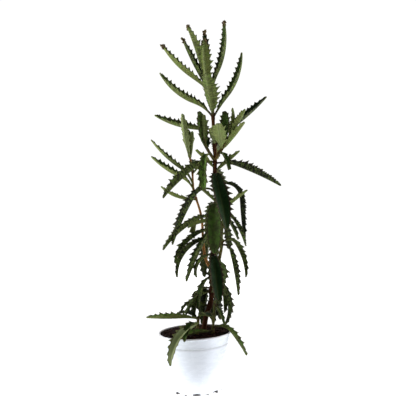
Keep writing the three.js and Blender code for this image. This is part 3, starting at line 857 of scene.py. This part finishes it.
@surface
def leaf_skin(n, looks):
    """Waxy leaf: dark above with a darker rim and lighter speckles of mottling and painted sheen, olive and
    mottled beneath, fresher or pale where young, and darkened by painted shade where its tone is below 0
    """
    grain = n.mark("grain", "Vector")
    under, edge, keel, tone, bud, reach = map(n.mark, ("under", "edge", "keel", "tone", "bud", "reach"))
    fresh, pale = n.ramp(tone, 0, 1), n.ramp(tone, 1, 2)
    cloud, fine = n.noise(grain, 0.12, 3), n.noise(grain, 0.9, 4)
    streaks = n.noise(grain, 0.28, 4, 0.6, (0.45, 1.25, 1))
    veins = n.noise(grain, 0.8, 2, 0.5, (0.5, 1.6, 1))
    olive = n.blend(fresh, looks.under, looks.under_young)

    # Lighter olive speckles on the upper face: part mottling, part painted sheen of the waxy skin
    flecks_and_sheen = n.product(
        n.smooth(streaks, 0.6, 0.42), n.ramp(tone, 0, 0.6, 0, 0.5), n.ramp(tone, 0.6, 1, 1, 0.3))
    flush = n.product(
        n.smooth(cloud, 0.42, 0.6), n.ramp(tone, 0.2, 0.6, 0, 0.5), n.ramp(tone, 0.9, 1.3, 1, 0))
    rim = n.product(
        n.smooth(edge, 0.15, 0.5), n.ramp(fresh, 0, 1, 0.85, 0.7), n.smooth(fine, 0.3, 0.6, 0.6, 1))
    upper = n.coats(
        looks.upper,
        (fresh, looks.upper_young),
        (n.smooth(cloud, 0.35, 0.7, 0, 0.6), LEAF_SHADE),
        (flecks_and_sheen, looks.under),
        (n.product(keel, 0.3), looks.under),
        (pale, looks.bloom),
        (flush, looks.margin),
        (rim, looks.margin),
        (n.smooth(edge, 0.7, 0.95, 0, 0.75), olive),
    )
    dapple = n.product(n.smooth(streaks, 0.43, 0.56), n.ramp(tone, 0, 1.1, 0.95, 0.1))
    tooth_rim = n.product(n.smooth(edge, 0.88, 1), n.smooth(fine, 0.4, 0.65, 0, 0.6))
    beneath = n.coats(
        olive,
        (n.smooth(cloud, 0.4, 0.75, 0, 0.45), looks.upper_young),
        (pale, looks.bloom),
        (dapple, looks.streak),
        (n.product(keel, 0.5), n.blend(fresh, looks.under_young, looks.bloom)),
        (tooth_rim, looks.margin),
    )
    petiole = n.blend(n.ramp(tone, 0.7, 1.2), RED_PETIOLE, looks.under_young)
    plantlet = n.blend(n.smooth(fine, 0.4, 0.7), looks.plantlet, looks.under_young)
    colour = n.coats(
        upper,
        (n.smooth(under, 0.35, 0.65), beneath),
        (n.smooth(reach, 0.2, 0.04, 0, 0.8), petiole),
        (n.smooth(bud, 0.1, 0.4), plantlet),
        # Painted shade: a leaf whose tone is below 0 is darkened towards near black, as if deep in the
        # plant
        (n.ramp(tone, -1, 0, 0.85, 0), DEEP_SHADE),
    )
    return {
        "Base Color": colour,
        "Roughness": n.smooth(cloud, 0.3, 0.7, 0.52, 0.68),
        "Normal": n.relief((veins, 0.35, 0.0006), (fine, 0.25, 0.0003)),
        "Specular IOR Level": 0.06,
    }


@surface
def stem_skin(n, looks):
    """Stem skin: green where young, brown and corky where woody, flushed purple at the nodes"""
    grain = n.mark("grain", "Vector")
    woody, node = n.mark("woody"), n.mark("node")
    strips = n.noise(grain, 0.5, 4, 0.6, (1.4, 1.4, 0.16))
    spots = n.noise(grain, 0.7, 3)
    ripe = n.maths("ADD", woody, n.smooth(strips, 0.3, 0.7, -0.15, 0.15))
    colour = n.coats(
        looks.green,
        (n.ramp(ripe, 0.1, 0.5), looks.tan),
        (n.ramp(ripe, 0.55, 0.85), looks.woody),
        (n.smooth(spots, 0.5, 0.75, 0, 0.6), looks.flush),
        (n.product(node, 0.5), looks.flush),
        (n.smooth(strips, 0.62, 0.8, 0, 0.4), looks.tan),
    )
    return {
        "Base Color": colour,
        "Roughness": n.smooth(woody, 0, 1, 0.5, 0.7),
        "Normal": n.relief((strips, 0.5, 0.0008), (spots, 0.3, 0.0004)),
        "Specular IOR Level": 0.04,
    }


@surface
def white_plastic(n, looks):
    """Thin glossy white plastic with scuffs, soil staining and painted shade inside, round the notches and
    under the floor, painted shade in the crease under the collar, and a patchy grey-brown band on the lip
    """
    place = n.place()
    across, height, collar = n.split(place), looks.height, looks.height - looks.collar_height
    tall, out = across["Z"], n.length(n.stretch(place, (1, 1, 0)))
    rings = n.noise(place, 1, 2, 0.5, (6, 6, 260))
    fine = n.noise(place, 420, 3)
    scuffs = n.noise(place, 60, 5, 0.65, (1, 1, 3))

    # Soil staining and painted shade inside the wall, round the drain notches and in the hollow under the
    # floor
    wall = n.maths("MULTIPLY_ADD", tall, MID_WALL_SLOPE, MID_WALL_FOOT * MM)
    inside = n.product(
        n.smooth(n.maths("SUBTRACT", wall, out), -0.2 * MM, 0.4 * MM), n.smooth(tall, 78 * MM, 83 * MM))
    beneath = n.product(n.smooth(out, 44.2 * MM, 43.6 * MM), n.smooth(tall, 13 * MM, 9 * MM))
    turn = n.maths("ARCTAN2", across["Y"], across["X"])
    beat = n.maths("COSINE", n.product(turn, float(NOTCH_PAIRS)))
    large = n.product(n.smooth(beat, 0.25, 0.6), n.smooth(tall, 8.8 * MM, 5.8 * MM))
    small = n.product(n.smooth(beat, -0.72, -0.9), n.smooth(tall, 6.2 * MM, 4.2 * MM))
    notches = n.product(n.maths("MAXIMUM", large, small), 0.9)
    stain_and_shade_mask = n.maths("MAXIMUM", n.maths("MAXIMUM", inside, notches), beneath)
    # Painted shade: a grey band in the crease under the collar's step
    crease = n.product(
        n.smooth(tall, collar - 1.4 * MM, collar - 0.2 * MM),
        n.smooth(tall, collar + 1.6 * MM, collar + 0.8 * MM), 0.45)
    # A patchy grey-brown band along the top of the lip
    lip = n.smooth(tall, height - 2.5 * MM, height - 0.5 * MM)
    colour = n.coats(
        looks.plastic,
        (n.smooth(n.noise(place, 18, 3), 0.35, 0.7, 0, 0.5), CLOUDED_PLASTIC),
        (n.smooth(scuffs, 0.62, 0.8, 0, 0.25), SCUFFED_PLASTIC),
        (crease, PAINTED_CREASE_SHADE),
        (n.product(stain_and_shade_mask, n.smooth(scuffs, 0.3, 0.5, 0.8, 1)), looks.stain),
        (n.product(lip, n.smooth(scuffs, 0.3, 0.6, 0.25, 0.7)), GREY_BROWN_LIP),
    )
    return {
        "Base Color": colour,
        "Roughness": n.smooth(scuffs, 0.4, 0.8, 0.24, 0.42),
        "Normal": n.relief((rings, 0.05, 0.0003), (fine, 0.05, 0.0002)),
        "Specular IOR Level": 0.5,
        "Subsurface Weight": 0.12,
        "Subsurface Radius": (0.003, 0.003, 0.003),
    }


@surface
def bark_mix(n, looks):
    """Damp peat with reddish and dark bark chips"""
    grain = n.mark("grain", "Vector")
    fibre = n.noise(grain, 0.7, 5, 0.65, (0.3, 1.6, 1))
    crumb = n.noise(grain, 0.5, 6, 0.7)
    bark = n.coats(looks.peat, (fibre, looks.bark), (n.smooth(crumb, 0.6, 0.8, 0, 0.6), LIGHT_BARK))
    peat = n.blend(n.smooth(crumb, 0.35, 0.7), WET_PEAT, looks.peat)
    return {
        "Base Color": n.blend(n.mark("chip"), peat, bark),
        "Roughness": n.smooth(crumb, 0.3, 0.8, 0.6, 0.95),
        "Normal": n.relief((fibre, 0.8, 0.0012), (crumb, 0.7, 0.001)),
        "Specular IOR Level": 0.06,
    }


@surface
def pale_floor(n, looks):
    """White floor that glows a little round the pot and, further off, into the white behind"""
    place = n.place()
    away = n.length(place)
    near = n.maths(
        "ADD", n.smooth(away, 0.05, 0.12, looks.floor_near, 0), n.smooth(away, 0.12, 0.3, 0.25, 0))
    far = n.smooth(away, 0.5, 1.4, 0, looks.floor_far)
    return {
        "Base Color": n.blend(n.noise(place, 1.2, 2), looks.floor, FLOOR_CLOUD),
        "Roughness": 0.6,
        "Emission Color": WHITE,
        "Emission Strength": n.maths("ADD", near, far),
    }


# Pot, in millimetres; the middle of its wall is a cone from the foot up
POT_SIDES = 160
CORNER_STEPS = 5
MID_WALL_SLOPE, MID_WALL_FOOT = 0.18, 44
NOTCH_PAIRS = 8
NOTCH_SIDES = 28
NOTCH_HEIGHTS = (7.0, 5.0)
NOTCH_REACH = (-9, 4)
NOTCH_SQUARENESS = 0.85
SHARP_ANGLE = math.radians(38)


def rounded(corners):
    """A line through corners (radius, height, rounding), each but the ends turned into a small arc"""
    corners = np.array(corners, float)
    places = corners[:, :2]
    line = [places[0]]
    for before, here, after, rounding in zip(places, places[1:], places[2:], corners[1:, 2]):
        start, end = (
            here + way / np.linalg.norm(way) * min(rounding, np.linalg.norm(way) / 2)
            for way in (before - here, after - here))
        line += [
            (1 - t) ** 2 * start + 2 * t * (1 - t) * here + t * t * end
            for t in np.linspace(0, 1, CORNER_STEPS + 1)]
    return np.array([*line, places[-1]])


def pot_section(sizes):
    """The pot's section: up the outside over collar and lip, and down the inside"""
    rim, height, base = sizes.rim_radius / MM, sizes.height / MM, sizes.base_radius / MM
    wall, collar = sizes.wall / MM, height - sizes.collar_height / MM
    neck = rim - 5.9
    foot_slope = (neck - base) / collar
    outside = [
        (0, 1.1, 0), (base * 0.62, 1.1, 0.6), (base * 0.66, 0, 0.6), (base - 0.6, 0, 0.8),
        (base + 4 * foot_slope, 4, 1), (neck - 14 * foot_slope, collar - 14, 2), (neck, collar, 0.9),
        (neck + 1.2, collar + 0.4, 0.5), (neck + 1.5, collar + 2.2, 0.6), (neck + 1.25, collar + 3, 0.5),
        (rim - 1.9, height - 3.6, 0.8), (rim - 0.5, height - 3.2, 0.7), (rim, height - 2.2, 0.9),
        (rim, height - 0.5, 0.8), (rim - 1.1, height, 0.8), (rim - 1.6 - wall, height - 0.7, 0.7),
    ]
    inside = [
        (neck + 1.3 - wall, collar + 1.6, 1), (neck - wall, collar, 1), (base - wall, wall + 1.1, 2),
        (base * 0.6, wall + 1.3, 1), (0, wall + 1.3, 0),
    ]
    return rounded(outside + inside)


def turned(section):
    """Points and faces of a section turned round the axis, its ends on the axis"""
    rings = section[1:-1]
    angle = round_angles(POT_SIDES)
    points = [np.stack([r * np.cos(angle), r * np.sin(angle), np.full(POT_SIDES, z)], 1) for r, z in rings]
    points = np.vstack([*points, (0, 0, section[0][1]), (0, 0, section[-1][1])])
    first, last = len(points) - 2, len(points) - 1
    starts = range(0, first, POT_SIDES)
    end = starts[-1]
    faces = []
    for side in range(POT_SIDES):
        after = (side + 1) % POT_SIDES
        faces += [(first, after, side), (last, end + side, end + after)]
        faces += [(a + side, a + after, b + after, b + side) for a, b in zip(starts, starts[1:])]
    return points, faces


def notch_cutters(sizes):
    """Points and faces of the round-topped cutters of the drain notches, large and small by turns"""
    base, widths = sizes.base_radius / MM, (sizes.large_notch / MM, sizes.small_notch / MM)
    points, faces = [], []
    for i in range(2 * NOTCH_PAIRS):
        width, height = widths[i % 2], NOTCH_HEIGHTS[i % 2]
        turn = i * math.pi / NOTCH_PAIRS - math.pi / 2
        out = np.array((math.cos(turn), math.sin(turn), 0))
        side = np.array((-math.sin(turn), math.cos(turn), 0))
        start = len(points)
        for depth in NOTCH_REACH:
            for a in round_angles(NOTCH_SIDES):
                lift = height * np.sign(math.sin(a)) * abs(math.sin(a)) ** NOTCH_SQUARENESS
                points.append(out * (base + depth) + side * width / 2 * math.cos(a) + (0, 0, lift))
        ends = [tuple(range(first, first + NOTCH_SIDES)) for first in (start, start + NOTCH_SIDES)]
        faces += [ends[0][::-1], ends[1], *tube_faces(2, NOTCH_SIDES, start)]
    return points, faces


def cut(piece, cutter):
    """Cuts one object out of another for good and removes the cutter"""
    modifier = piece.modifiers.new("notches", "BOOLEAN")
    modifier.operation = "DIFFERENCE"
    modifier.solver = "EXACT"
    modifier.object = cutter
    graph = bpy.context.evaluated_depsgraph_get()
    mesh = bpy.data.meshes.new_from_object(piece.evaluated_get(graph))
    piece.modifiers.clear()
    piece.data = mesh
    bpy.data.objects.remove(cutter)


# Soil, in millimetres; a stem's place is x, y and how far chips keep from it
SOIL_SEED = 11
SOIL_RINGS = 56
SOIL_SIDES = 150
SOIL_FOOT_RADIUS, SOIL_FOOT_HEIGHT = 43.0, 3.4
CHIP_TOPS = 2.4
ROUGHNESS = 0.5
CHIP_LENGTHS, CHIP_WIDTHS, CHIP_THICKNESSES = (0.55, 1.35), (0.35, 0.7), (0.16, 0.34)
CRUMB_LENGTHS, CRUMB_SHAPES = (0.8, 2.2), (0.6, 1)
CHIP_GRAIN_SPREAD = 500
STEM_PLACES = [(14, 0, 7), (4, -17, 5), (30, -14, 5)]
STONE_LEVELS, STONE_SIDES = 3, 6
CHIP_ROCKING = 0.28


def soil_height(x, y, top):
    """Height of the soil's surface, bumpy and a little crowned"""
    bumps = np.sin(0.31 * x + 1.3) * np.cos(0.27 * y) + 0.6 * np.sin(0.5 * (x + y))
    return top + 1.0 * bumps + 0.35 * np.sin(1.7 * x) * np.cos(1.3 * y + 0.6)


def soil_body(build, radius, top, random):
    """Adds the soil's filling with a rough top"""
    angle = round_angles(SOIL_SIDES)
    r = radius * np.arange(1, SOIL_RINGS + 1)[:, None] / SOIL_RINGS
    x, y = r * np.cos(angle), r * np.sin(angle)
    rough = random.uniform(-ROUGHNESS, ROUGHNESS, x.shape)
    rough[-1] = 0
    ground = np.stack([x, y, soil_height(x, y, top) + rough], 2).reshape(-1, 3)
    foot = np.stack([np.cos(angle), np.sin(angle), 0 * angle], 1) * SOIL_FOOT_RADIUS
    low = np.array((0, 0, SOIL_FOOT_HEIGHT))
    points = np.vstack([(0, 0, soil_height(0, 0, top)), ground, foot + low, low])
    faces = flipped(capsule_faces(SOIL_RINGS + 1, SOIL_SIDES, 1, 0, len(points) - 1))
    build.add(points, faces, chip=0.0, grain=points)


def rough_stone(random):
    """Points and faces of a small lumpy ball, to be stretched into a chip"""
    level = np.arange(1, STONE_LEVELS + 1)[:, None]
    lift = math.pi * level / (STONE_LEVELS + 1) - math.pi / 2
    turn = 2 * math.pi * (np.arange(STONE_SIDES) + 0.5 * level) / STONE_SIDES
    size = random.uniform(0.75, 1.1, turn.shape)
    flat = size * np.cos(lift)
    lumps = np.stack([flat * np.cos(turn), flat * np.sin(turn), size * np.sin(lift)], 2).reshape(-1, 3)
    points = np.vstack([(0, 0, -1), lumps, (0, 0, 1)])
    return points, capsule_faces(STONE_LEVELS, STONE_SIDES, 1, 0, len(points) - 1)


def soil_chips(build, settings, radius, top, random):
    """Adds bark chips and crumbs lying on the soil, clear of the stems"""
    for i in range(settings.chips + settings.crumbs):
        chip = i < settings.chips
        if chip:
            length = settings.chip_length / MM * random.uniform(*CHIP_LENGTHS)
            size = np.array([1.0, random.uniform(*CHIP_WIDTHS), random.uniform(*CHIP_THICKNESSES)])
        else:
            length = random.uniform(*CRUMB_LENGTHS)
            size = random.uniform(*CRUMB_SHAPES, 3)
        size = size * length / 2
        r = math.sqrt(random.random()) * (radius - length * 0.55)
        turn = random.uniform(0, 2 * math.pi)
        x, y = r * math.cos(turn), r * math.sin(turn)
        if any(math.hypot(x - stem_x, y - stem_y) < clear for stem_x, stem_y, clear in STEM_PLACES):
            continue
        points, faces = rough_stone(random)
        spin = random.uniform(0, 2 * math.pi)
        tip, rock = random.normal(0, CHIP_ROCKING, 2) if chip else random.uniform(-1, 1, 2)
        lying = (points * size) @ np.array(Euler((rock, tip, spin)).to_matrix()).T
        z = soil_height(x, y, top) + size[2] * random.uniform(0.2, 1.1)
        grain = points * size + random.uniform(0, CHIP_GRAIN_SPREAD, 3)
        build.add(lying + (x, y, z), faces, chip=random.uniform(0.25, 1) if chip else 0.3, grain=grain)


# Stage, in metres; each light has a bearing from the viewer in degrees, a height and a size
LIGHTS = {
    "left_light": (-89, 0.45, (0.9, 1.2)),
    "right_light": (93, 0.45, (0.9, 1.2)),
    "top_light": (20, 1.6, (1.2, 1.2)),
}
LIGHT_DISTANCE = 1.3
LIGHT_TARGET = Vector((0.02, 0, 0.25))
CAMERA_SHIFT = (-0.0022, 0.0584)
NEAREST_SEEN = 0.01
FLOOR_REACH = 4.0
FLOOR_DROP = 0.2 * MM


def area_light(name, bearing, height, size, power):
    """A soft light round the plant, aimed at it"""
    data = bpy.data.lights.new(name, "AREA")
    data.shape = "RECTANGLE"
    data.size, data.size_y = size
    data.energy = power
    light = added(name, data)
    turn = math.radians(bearing)
    light.location = (LIGHT_DISTANCE * math.sin(turn), -LIGHT_DISTANCE * math.cos(turn), height)
    light.rotation_euler = (LIGHT_TARGET - light.location).to_track_quat("-Z", "Y").to_euler()


def studio_camera(settings):
    """The camera at the photograph's viewing angle"""
    data = bpy.data.cameras.new("camera")
    data.lens = settings.lens
    data.shift_x, data.shift_y = CAMERA_SHIFT
    data.clip_start = NEAREST_SEEN
    camera = added("camera", data)
    camera.location = (settings.aside, -settings.distance, settings.eye_height)
    camera.rotation_euler = (math.pi / 2, settings.tilt, 0)
    return camera


def studio_world(settings):
    """Plain white surroundings that light the plant from behind more than from in front"""
    world = bpy.data.worlds.new("studio")
    n = Nodes(world)
    deep = n.split(n.place("Generated"))["Y"]
    glow = n.smooth(deep, -0.75, 0.35, settings.front_glow, settings.back_glow)
    seen = n.add("ShaderNodeLightPath").outputs["Is Camera Ray"]
    background = n.add("ShaderNodeBackground", {"Color": WHITE, "Strength": n.maths("MAXIMUM", glow, seen)})
    n.add("ShaderNodeOutputWorld", {"Surface": background.outputs[0]})
    return world


class PLANT_OT_pot(bpy.types.Operator):
    """Add the white nursery pot with its collar, rolled lip and drain notches"""
    bl_idname = "plant.add_pot"
    bl_label = "Nursery pot"

    def execute(self, context):
        sizes = context.scene.plant_pot
        pot = plain_object("nursery_pot", *turned(pot_section(sizes)))
        cut(pot, plain_object("notch_cutters", *notch_cutters(sizes)))
        if len(pot.data.polygons) < POT_SIDES:
            raise RuntimeError("the drain notches left no pot")
        pot.data.shade_smooth()
        pot.data.set_sharp_from_angle(angle=SHARP_ANGLE)
        settle(pot, white_plastic(sizes), "pot")
        return {"FINISHED"}


class PLANT_OT_soil(bpy.types.Operator):
    """Add the bark soil with its chips and crumbs"""
    bl_idname = "plant.add_soil"
    bl_label = "Bark soil"

    def execute(self, context):
        settings = context.scene.plant_soil
        random = np.random.default_rng(SOIL_SEED)
        radius, top = SOIL_HIGH.x / MM, SOIL_HIGH.z / MM - CHIP_TOPS
        soil = Build()
        soil_body(soil, radius, top, random)
        soil_chips(soil, settings, radius, top, random)
        soil.finish("bark_potting_soil", bark_mix(settings), "potting_soil")
        return {"FINISHED"}


class PLANT_OT_main_shoot(bpy.types.Operator):
    """Add the main stem and its lower, middle and crown leaves"""
    bl_idname = "plant.add_main_shoot"
    bl_label = "Main shoot"

    def execute(self, context):
        make_shoot(MAIN_SHOOT)
        return {"FINISHED"}


class PLANT_OT_side_shoots(bpy.types.Operator):
    """Add the four side shoots that grow from the main stem"""
    bl_idname = "plant.add_side_shoots"
    bl_label = "Side shoots"

    def execute(self, context):
        for shoot in SIDE_SHOOTS:
            make_shoot(shoot)
        return {"FINISHED"}


class PLANT_OT_basal_shoots(bpy.types.Operator):
    """Add the two short shoots that stand in the soil"""
    bl_idname = "plant.add_basal_shoots"
    bl_label = "Basal shoots"

    def execute(self, context):
        for shoot in BASAL_SHOOTS:
            make_shoot(shoot)
        return {"FINISHED"}


class PLANT_OT_stage(bpy.types.Operator):
    """Add the camera, the soft lights and the pale floor"""
    bl_idname = "plant.set_stage"
    bl_label = "Stage"

    def execute(self, context):
        scene, settings = context.scene, context.scene.plant_stage
        scene.camera = studio_camera(settings)
        for name, placing in LIGHTS.items():
            area_light(name, *placing, getattr(settings, name))
        scene.world = studio_world(settings)
        scene.view_settings.view_transform = "Standard"
        corners = [(-1, -1, 0), (1, -1, 0), (1, 1, 0), (-1, 1, 0)]
        floor = plain_object("floor", np.array(corners) * FLOOR_REACH / MM, [(0, 1, 2, 3)])
        floor.location.z = -FLOOR_DROP
        floor.data.materials.append(pale_floor(settings))
        return {"FINISHED"}


class PLANT_PT_parts(bpy.types.Panel):
    """Lists the parts of the potted plant and their settings"""
    bl_label = "Potted mother of millions"
    bl_idname = "PLANT_PT_parts"
    bl_space_type = "VIEW_3D"
    bl_region_type = "UI"
    bl_category = "Potted plant"

    def draw(self, context):
        layout = self.layout
        for operator in OPERATORS:
            layout.operator(operator.bl_idname)
        for name in SETTINGS:
            box = layout.box()
            settings = getattr(context.scene, name)
            for key in settings.bl_rna.properties.keys():
                if key not in ("rna_type", "name"):
                    box.prop(settings, key)


SETTINGS = {
    "plant_pot": PotSettings, "plant_soil": SoilSettings, "plant_leaf": LeafSettings,
    "plant_stem": StemSettings, "plant_stage": StageSettings,
}
OPERATORS = (
    PLANT_OT_pot, PLANT_OT_soil, PLANT_OT_main_shoot, PLANT_OT_side_shoots, PLANT_OT_basal_shoots,
    PLANT_OT_stage,
)


def register():
    """Registers the settings, the operators and the panel"""
    for name, settings in SETTINGS.items():
        bpy.utils.register_class(settings)
        setattr(bpy.types.Scene, name, PointerProperty(type=settings))
    for item in (*OPERATORS, PLANT_PT_parts):
        bpy.utils.register_class(item)


def unregister():
    """Removes what register added"""
    for item in (PLANT_PT_parts, *reversed(OPERATORS)):
        bpy.utils.unregister_class(item)
    for name, settings in SETTINGS.items():
        delattr(bpy.types.Scene, name)
        bpy.utils.unregister_class(settings)


def main():
    """Builds the potted plant round the frame"""
    register()
    bpy.ops.plant.add_pot()
    bpy.ops.plant.add_soil()
    bpy.ops.plant.add_main_shoot()
    bpy.ops.plant.add_side_shoots()
    bpy.ops.plant.add_basal_shoots()
    bpy.ops.plant.set_stage()
    bpy.context.view_layer.update()


if __name__ == "__main__":
    main()
